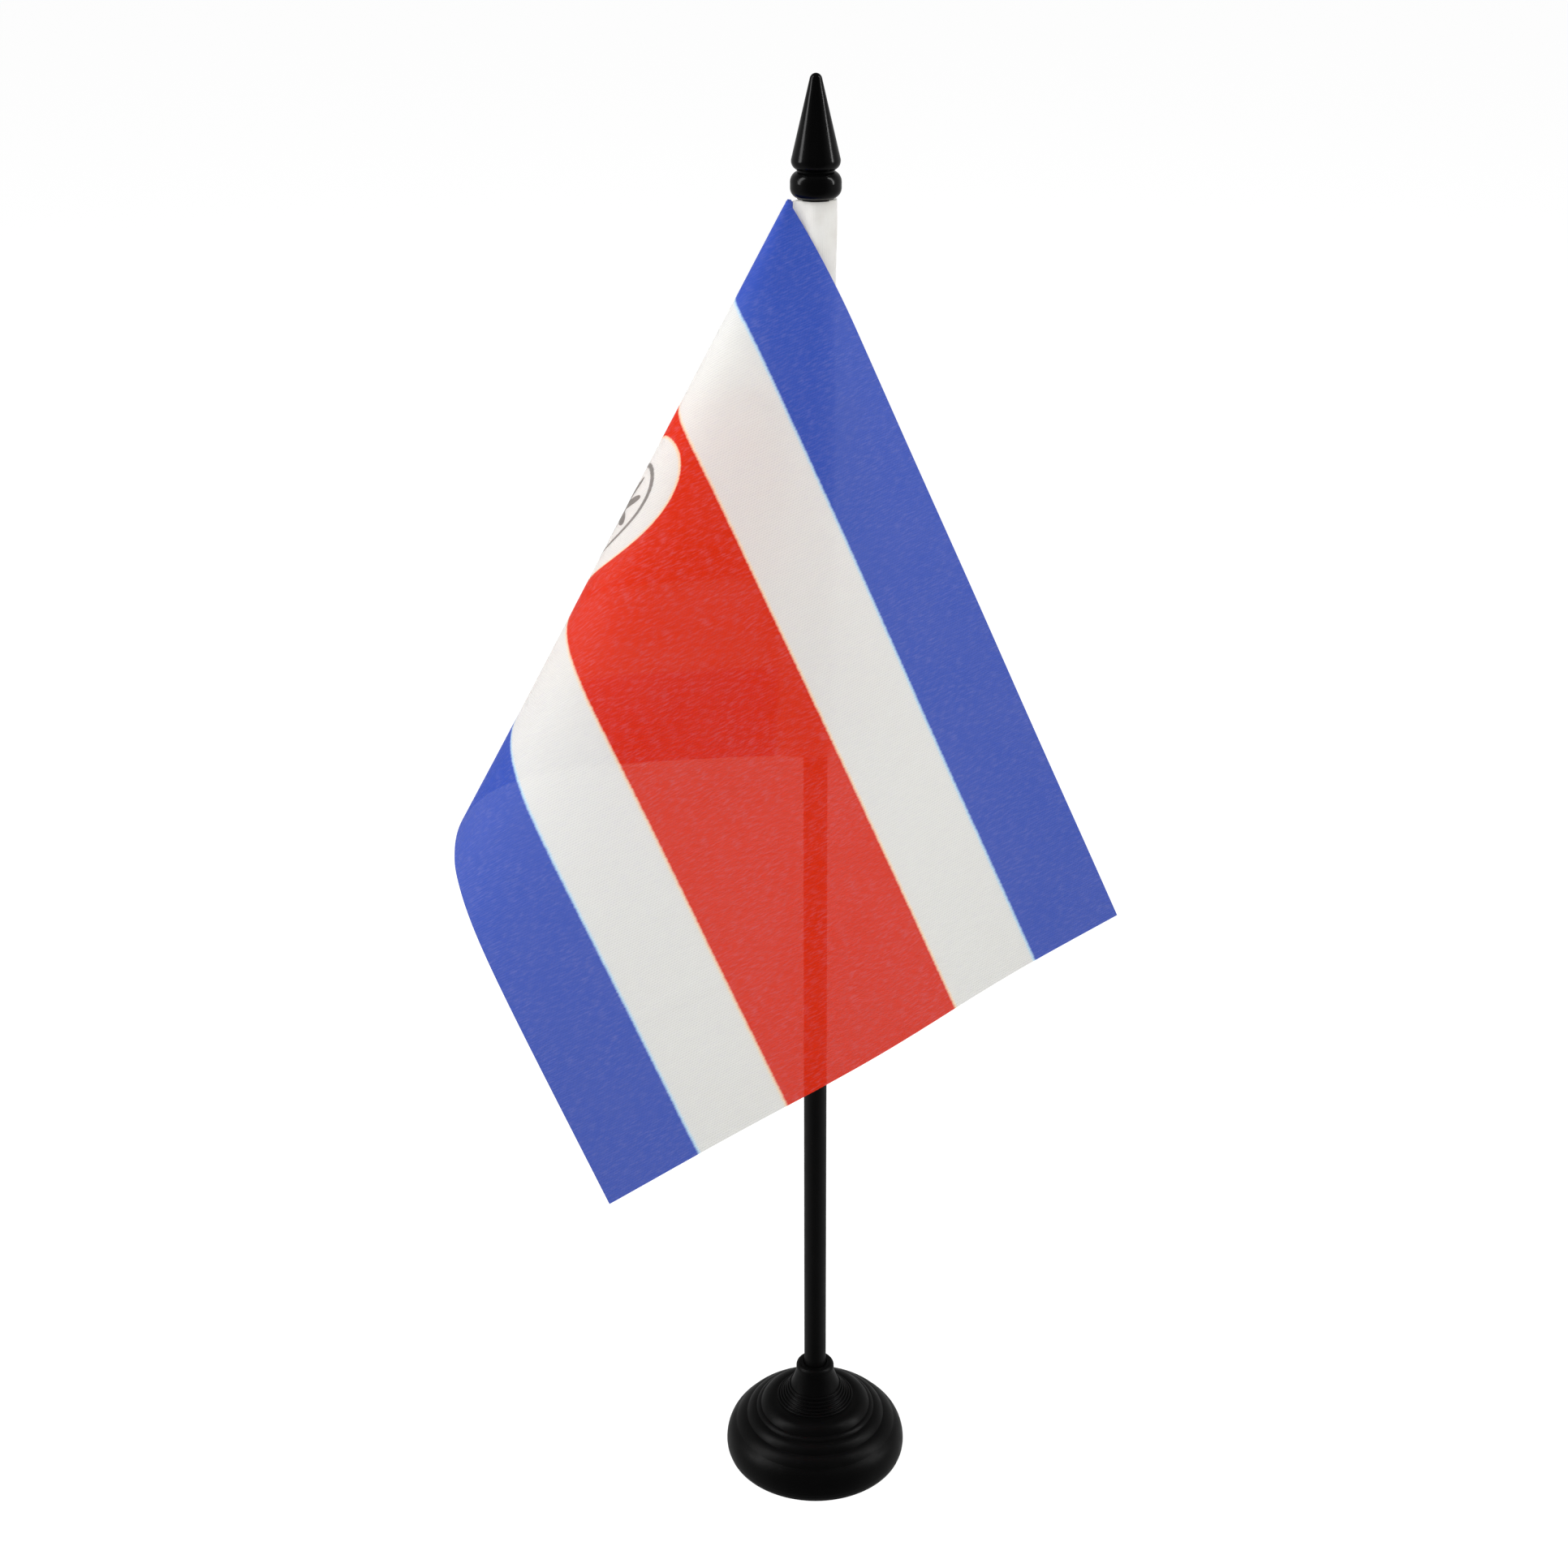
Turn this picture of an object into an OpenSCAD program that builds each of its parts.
// Desk flag on a push-together stand. A printed cloth is sewn into a sleeve round a thin pole,
// a spear finial is pushed over the top of the pole, and a round stepped base holds its foot.
// The origin is the centre of the base's underside, +Z runs up the pole, and the cloth hangs
// folded towards the front, -Y, with its hoist corner close under the finial.
// The cloth is a sheet that only bends, so it is a cone: straight rulings of the flat cloth
// fan out from one apex just above the hoist corner, and curl() says how fast they turn.

/* [Base] */
// Outer diameter of the base
base_d = 35.7; // [34:0.1:40]
// Height of the collar's lip above the table
base_h = 20; // [18:0.1:24]
// Outer diameter of the collar
collar_d = 7.5; // [7:0.1:9]
// Thickness of the moulded wall
wall = 1.3; // [1:0.1:1.5]
// Number of ribs under the base
rib_count = 4; // [3:1:8]

/* [Pole] */
// Diameter of the pole
pole_d = 4.3; // [4:0.1:4.6]
// Height of the finial's underside above the table
seat_h = 250.4; // [240:0.1:300]
// Diametral clearance of the pole in its two sockets
fit = 0.06; // [0.04:0.02:0.16]
// Depth of the socket in the base
socket_depth = 16.5; // [12:0.5:17]

/* [Finial] */
// Height of the finial
finial_h = 19.8; // [16:0.1:26]
// Diameter of the finial's ring
finial_d = 8.45; // [8:0.05:10]
// Depth of the socket in the finial
finial_socket = 9.5; // [6:0.5:10]

/* [Cloth] */
// Height of the cloth along the hoist
hoist = 100; // [80:1:120]
// Length of the printed cloth from the sleeve to the fly end
fly = 135; // [110:1:150]
// Thickness of the cloth solid
cloth_t = 0.3; // [0.2:0.05:0.4]
// Angle down from the top edge's normal at which the cloth folds back on itself
fold_at = 32.7; // [30:0.1:36]
// How far the fold spreads to each side, in degrees of the fan
fold_spread = 20; // [16:0.5:22]
// How much the fold turns the cloth, in degrees of bend
fold_turn = 143.8; // [130:0.1:150]
// Direction in which the cloth leaves the sleeve, turned from -X towards the front
leave_angle = 8.2; // [4:0.1:14]
// Lean of the hoist away from the pole
hoist_lean = 2; // [1:0.1:3]
// How far the cloth is drawn down to its hoist corner, out of the plain cone
tuck = 1.9; // [1.5:0.1:2.2]

/* [Sleeve and seam] */
// Distance from the pole's axis to the sleeve's snug sides
sleeve_r = 2.6; // [2.55:0.01:2.65]
// Slack of the sleeve away from the seam, at its upper end
slack_top = 1.1; // [0.4:0.05:1.3]
// Slack of the sleeve away from the seam, at its lower end
slack_bottom = 0.5; // [0.3:0.05:1.3]
// Thickness of the sleeve's cloth
sleeve_t = 0.2; // [0.15:0.01:0.22]
// Width of the seam allowance behind the cloth
allowance = 3; // [2.5:0.1:3.5]
// Distance of the stitch row from the hoist
stitch_row = 1.5; // [1:0.1:2]
// Length from one stitch to the next
stitch_pitch = 2.5; // [2:0.1:4]
// Diameter of the sewing thread
thread_d = 0.24; // [0.15:0.01:0.3]

/* [Hidden] */
$fn = 96;
base_r = base_d / 2;
collar_r = collar_d / 2;
pole_foot = base_h - socket_depth;
pole_top = seat_h + finial_socket - 0.2;

// ---------- base ----------

// The rim bulges out at this height, above a foot that is set in
bulge_h = 1.5;
foot_inset = 0.33;
// The rim's shoulder is part of an ellipse: its two radii, and the angle where it ends
shoulder = [3.05, 4.95];
shoulder_end = 60;
// The dish's straight slope, from its outer to its inner end
slope = [[15.9, 6.2], [8.7, 11.8]];
// Radii of the grooves between the dish's terraces, and how far each terrace stands out
grooves = [8.7, 10.9, 11.8, 13.75, 15.9];
bulges = [0.34, 0.14, 0.3, 0.24];
// Where the hub's flare meets the inner terrace
flare_r = 8.2;
flare_h = 11.75;
flare_power = 1.6;
// Fine steps turned into the flare
step_count = 6;
step_r = 0.26;
// Rounded lip of the collar, and the foot of its neck
lip_r = 0.9;
neck_h = base_h - 1.75;
// Space between the collar's lip and the pole
mouth_depth = 1.6;
mouth_gap = 0.25;
// Floor and roof of the hollow under the dish, and the socket's boss left standing in it
boss_r = collar_r + 0.5;
roof = [[boss_r, 11], [6.4, 10.4], [8.4, 8.9], [12.6, 5.5], [15, 3.4], [base_r - wall, 2.9]];
rib_w = 1;
under = 1;

// One point of the hub's flare, from 0 at the neck to 1 at the inner terrace
function flare(f) = [flare_r - (flare_r - collar_r) * cos(90 * f),
                     neck_h - (neck_h - flare_h) * pow(sin(90 * f), flare_power)];
// One point of the rim's shoulder, from the bulge upwards
function shoulder_at(a) = [base_r - shoulder.x * (1 - cos(a)), bulge_h + shoulder.y * sin(a)];

// Place on the slope at a radius, and the slope's unit normal
fall = (slope[1].y - slope[0].y) / (slope[0].x - slope[1].x);
function on_slope(r) = [r, slope[0].y + (slope[0].x - r) * fall];
slope_normal = [fall, 1] / norm([fall, 1]);

// Terrace i is an arc through its two grooves
module terrace(i) {
    a = on_slope(grooves[i]);
    b = on_slope(grooves[i + 1]);
    half = norm(b - a) / 2;
    depth = (half * half - bulges[i] * bulges[i]) / (2 * bulges[i]);
    translate((a + b) / 2 - depth * slope_normal) circle(depth + bulges[i]);
}

module base_profile() {
    polygon(concat(
        [[0, 0], [base_r - foot_inset, 0], [base_r - foot_inset / 4, bulge_h / 2]],
        [for (a = [0 : 4 : shoulder_end]) shoulder_at(a)], slope,
        [for (f = [1 : -0.05 : 0]) flare(f)],
        [[collar_r, base_h - lip_r], [collar_r - lip_r, base_h], [0, base_h]]));
    translate([collar_r - lip_r, base_h - lip_r]) circle(lip_r);
    for (i = [0 : len(bulges) - 1])
        terrace(i);
    for (i = [1 : step_count])
        translate(flare(0.42 + 0.45 * i / step_count)) circle(step_r, $fn = 24);
}

module base_hollow() {
    rotate_extrude()
        polygon(concat([[boss_r, -under]], roof, [[base_r - wall, -under]]));
}

module base_ribs() {
    for (i = [0 : rib_count - 1])
        rotate(360 * i / rib_count) translate([collar_r, -rib_w / 2, under])
            cube([base_r - wall / 2 - collar_r, rib_w, base_h / 2]);
}

module base_shell() {
    color([0.07, 0.07, 0.07]) difference() {
        rotate_extrude() base_profile();
        difference() {
            base_hollow();
            base_ribs();
        }
        translate([0, 0, pole_foot]) cylinder(d = pole_d + fit, h = base_h);
        // open mouth of the collar
        translate([0, 0, base_h - mouth_depth])
            cylinder(r1 = pole_d / 2 + fit, r2 = pole_d / 2 + mouth_gap + fit, h = mouth_depth + under);
    }
}

// ---------- pole and finial ----------

module pole() {
    chamfer = 0.4;
    color([0.1, 0.1, 0.11]) {
        translate([0, 0, pole_foot + chamfer])
            cylinder(d = pole_d, h = pole_top - pole_foot - 2 * chamfer);
        translate([0, 0, pole_foot])
            cylinder(d1 = pole_d - 2 * chamfer, d2 = pole_d, h = chamfer);
        translate([0, 0, pole_top - chamfer])
            cylinder(d1 = pole_d, d2 = pole_d - 2 * chamfer, h = chamfer);
    }
}

// Ring: the radius of its round edge and that edge's middle height, below and above
ring_edges = [[1.7, 1.7], [1.85, 2.65]];
// Groove between the ring and the cone
groove_r = 3.1;
// Cone: its widest radius and that one's height, the round below it, and its blunt tip
cone_r = 4.05;
cone_foot = 6;
foot_r = 1.5;
tip_r = 0.95;
tip_h = finial_h - 0.62 * tip_r;

module finial_profile() {
    ring_r = finial_d / 2;
    for (e = ring_edges)
        translate([ring_r - e[0], e[1]]) circle(e[0]);
    translate([0, ring_edges[0][1]]) square([ring_r, ring_edges[1][1] - ring_edges[0][1]]);
    square([ring_r - ring_edges[0][0], ring_edges[0][1]]);
    square([groove_r, cone_foot]);
    translate([cone_r - foot_r, cone_foot]) circle(foot_r);
    // straight cone, from just above the widest place
    polygon([[0, cone_foot], [cone_r - 0.02, cone_foot + 0.25], [tip_r, tip_h], [0, tip_h]]);
    intersection() {
        translate([0, tip_h - tip_r * 0.45]) circle(tip_r * 1.07);
        translate([0, tip_h - 0.2]) square([tip_r, 2]);
    }
}

module finial() {
    color([0.03, 0.03, 0.03]) translate([0, 0, seat_h]) difference() {
        rotate_extrude() intersection() {
            finial_profile();
            square([finial_d, finial_h + 1]);
        }
        translate([0, 0, -1]) cylinder(d = pole_d + fit, h = finial_socket + 1);
    }
}

// ---------- cloth ----------

// Apex of the cloth's cone, just above the hoist corner
apex = [-3.66, -1.01, seat_h + 1.8];
// How far from the hoist corner the drawn-down part reaches, along the top edge and the hoist
tuck_reach = [25, 30];
// The hoist corner is cut off this short
corner_cut = 1.3;
// Gentle bend of the layer behind the fold, and of the layer in front of it at each end
back_bend = 0.4;
front_bend = 1.2;
fly_bend = -0.45;
// Fan angle of the lower fly corner
corner_angle = atan2(fly, hoist);

// How fast the cone turns at fan angle a, in degrees of bend for each degree of fan
function curl(a) =
    let (x = (a - fold_at) / fold_spread,
         bump = abs(x) < 1 ? (1 + cos(180 * x)) / 2 : 0,
         rest = a < fold_at ? back_bend
                            : front_bend + (fly_bend - front_bend) * (a - fold_at) / (90 - fold_at))
    -(bump * fold_turn / fold_spread + rest);

// Vector v turned by angle a about the unit axis k
function turn(v, k, a) = v * cos(a) + cross(k, v) * sin(a) + k * (k * v) * (1 - cos(a));

// A ruling and the cloth's direction across it, one degree further along the fan
function next_ruling(f, a) =
    let (w = cross(f[0], f[1]) + curl(a + 0.5) * f[0], k = w / norm(w))
    [turn(f[0], k, norm(w)), turn(f[1], k, norm(w))];

// The ruling at the hoist
hoist_dir = [-sin(hoist_lean), 0, -cos(hoist_lean)];
leave_raw = [-cos(leave_angle), -sin(leave_angle), 0];
leave_flat = leave_raw - hoist_dir * (hoist_dir * leave_raw);
first_ruling = [hoist_dir, leave_flat / norm(leave_flat)];

function fan_from(f, a) = a >= 90 ? [f] : concat([f], fan_from(next_ruling(f, a), a + 1));
fan = fan_from(first_ruling, 0);

// Unit ruling and unit normal at fan angle a
function between(a, part) =
    let (i = min(89, floor(a)), f = a - i) fan[i][part] * (1 - f) + fan[i + 1][part] * f;
function ruling(a) = let (g = between(a, 0)) g / norm(g);
function normal(a) = let (n = cross(between(a, 0), between(a, 1))) n / norm(n);

// Distance down from the apex of a place v below the top edge, with the corner drawn down
function drawn(u, v) =
    v + tuck * pow(max(0, 1 - u / tuck_reach.x) * max(0, 1 - v / tuck_reach.y), 2);
// Point of the cloth from its flat place, u from the hoist and v down from the top edge, off
// the middle layer by t
function cloth(u, v, t) =
    let (w = drawn(u, v), a = atan2(u, w))
    apex + norm([u, w]) * ruling(a) + t * normal(a);

// Faces that close two grids of rows x cols points, laid one after the other
function sheet_faces(rows, cols) =
    let (n = rows * cols, at = function (i, j) i * cols + j)
    concat(
        [for (i = [0 : rows - 2], j = [0 : cols - 2], tri =
            [[at(i, j), at(i, j + 1), at(i + 1, j + 1)], [at(i, j), at(i + 1, j + 1), at(i + 1, j)]]) tri],
        [for (i = [0 : rows - 2], j = [0 : cols - 2], tri =
            [[at(i, j), at(i + 1, j + 1), at(i, j + 1)], [at(i, j), at(i + 1, j), at(i + 1, j + 1)]])
            [for (p = tri) p + n]],
        [for (i = [0 : rows - 2], tri =
            [[at(i, 0), at(i + 1, 0), at(i + 1, 0) + n], [at(i, 0), at(i + 1, 0) + n, at(i, 0) + n]]) tri],
        [for (i = [0 : rows - 2], tri = [[at(i, cols - 1), at(i + 1, cols - 1) + n, at(i + 1, cols - 1)],
            [at(i, cols - 1), at(i, cols - 1) + n, at(i + 1, cols - 1) + n]]) tri],
        [for (j = [0 : cols - 2], tri =
            [[at(0, j), at(0, j + 1) + n, at(0, j + 1)], [at(0, j), at(0, j) + n, at(0, j + 1) + n]]) tri],
        [for (j = [0 : cols - 2], tri = [[at(rows - 1, j), at(rows - 1, j + 1), at(rows - 1, j + 1) + n],
            [at(rows - 1, j), at(rows - 1, j + 1) + n, at(rows - 1, j) + n]]) tri]);

// Fan angles of the grid, with one exactly through the lower fly corner
lower_cols = 30;
upper_cols = 14;
fan_angles = concat([for (i = [0 : lower_cols]) corner_angle * i / lower_cols],
                    [for (i = [1 : upper_cols]) corner_angle + (90 - corner_angle) * i / upper_cols]);
cloth_rows = 12;

function outline(a) = a <= corner_angle ? hoist / cos(a) : fly / sin(a);
function cloth_grid(t) = [for (i = [0 : cloth_rows], a = fan_angles)
    let (r = corner_cut + (outline(a) - corner_cut) * pow(i / cloth_rows, 1.5))
    cloth(r * sin(a), r * cos(a), t)];

module flag_panel() {
    color([0.86, 0.2, 0.18])
        polyhedron(concat(cloth_grid(cloth_t / 2), cloth_grid(-cloth_t / 2)),
                   sheet_faces(cloth_rows + 1, len(fan_angles)), convexity = 8);
}

// ---------- sleeve ----------

// Gap between the cloth and the sewn pieces on it
gap = 0.03;
// Offset of the allowance's middle layer behind the cloth
allowance_off = cloth_t / 2 + gap + sleeve_t / 2;
// The allowance narrows towards the hoist corner, where the cloth folds
allowance_taper = 0.2;
// Half the width that is kept clear round the cloth's hoist edge
edge_clear = 0.3;
// The slack is largest past the side away from the seam, towards the back
slack_skew = 1.4;
sleeve_levels = 12;
sleeve_end = 0.15;
loop_points = 44;

// The sleeve's middle line round the pole is a teardrop: a round loop, and two straight sides
// that meet at the seam. q is the seam's place, a the angle from it, counted over the front.
function teardrop(q, a, slack) =
    let (tangent = acos(sleeve_r / norm([q.x, q.y])), near = min(a, 360 - a),
         way = max(0, min(1, (a - tangent) / (360 - 2 * tangent))),
         loose = sleeve_r + slack * pow(sin(180 * pow(way, slack_skew)), 2),
         r = near < tangent ? sleeve_r / cos(tangent - near) : loose,
         dir = atan2(q.y, q.x) + a)
    [r * cos(dir), r * sin(dir), q.z];

// The same, moved out from the middle line by t
function sleeve_point(q, a, slack, t) =
    let (d = teardrop(q, a + 0.5, slack) - teardrop(q, a - 0.5, slack))
    teardrop(q, a, slack) + t * [d.y, -d.x, 0] / norm(d);

// One level of the sleeve: the front side from the hoist, the loop, the back side, and the
// allowance that lies behind the cloth
function sleeve_level(v, t) =
    let (q = cloth(0, v, 0), s = norm([q.x, q.y]),
         slack = slack_top + (slack_bottom - slack_top) * v / hoist,
         start = asin(edge_clear / s), stop = 360 - asin((allowance_off + sleeve_t) / s),
         width = min(allowance, allowance_taper * v))
    concat(
        [for (i = [0 : loop_points])
            sleeve_point(q, start + (stop - start) * i / loop_points, slack, t - sleeve_t / 2)],
        [for (part = [0.25, 0.5, 0.75, 1]) cloth(part * width, v, allowance_off + t)]);

module hoist_sleeve() {
    levels = [for (i = [0 : sleeve_levels])
        sleeve_end + (hoist - 2 * sleeve_end) * pow(i / sleeve_levels, 1.3)];
    color([0.93, 0.92, 0.89])
        polyhedron(concat([for (v = levels) each sleeve_level(v, sleeve_t / 2)],
                          [for (v = levels) each sleeve_level(v, -sleeve_t / 2)]),
                   sheet_faces(sleeve_levels + 1, loop_points + 5), convexity = 6);
}

// ---------- seam ----------

// Height of the first stitch below the top edge, clear of the fold, and of the last one
// above the lower edge
first_stitch = 9;
last_stitch = 3;
// Share of the pitch that one stitch covers
stitch_share = 0.8;

// Stitches along the stitch row, each a short run of thread lying on the cloth at offset t
module stitches(t) {
    for (v = [first_stitch : stitch_pitch : hoist - last_stitch]) {
        a = cloth(stitch_row, v, t);
        b = cloth(stitch_row, v + stitch_share * stitch_pitch, t);
        d = b - a;
        translate(a) rotate([0, acos(d.z / norm(d)), atan2(d.y, d.x)])
            cylinder(d = thread_d, h = norm(d), $fn = 16);
    }
}

module seam_needle_thread() {
    color([0.9, 0.9, 0.9]) stitches(-(cloth_t + thread_d) / 2 - gap);
}

module seam_bobbin_thread() {
    color([0.9, 0.9, 0.9]) stitches(allowance_off + (sleeve_t + thread_d) / 2 + gap);
}

base_shell();
pole();
finial();
flag_panel();
hoist_sleeve();
seam_needle_thread();
seam_bobbin_thread();
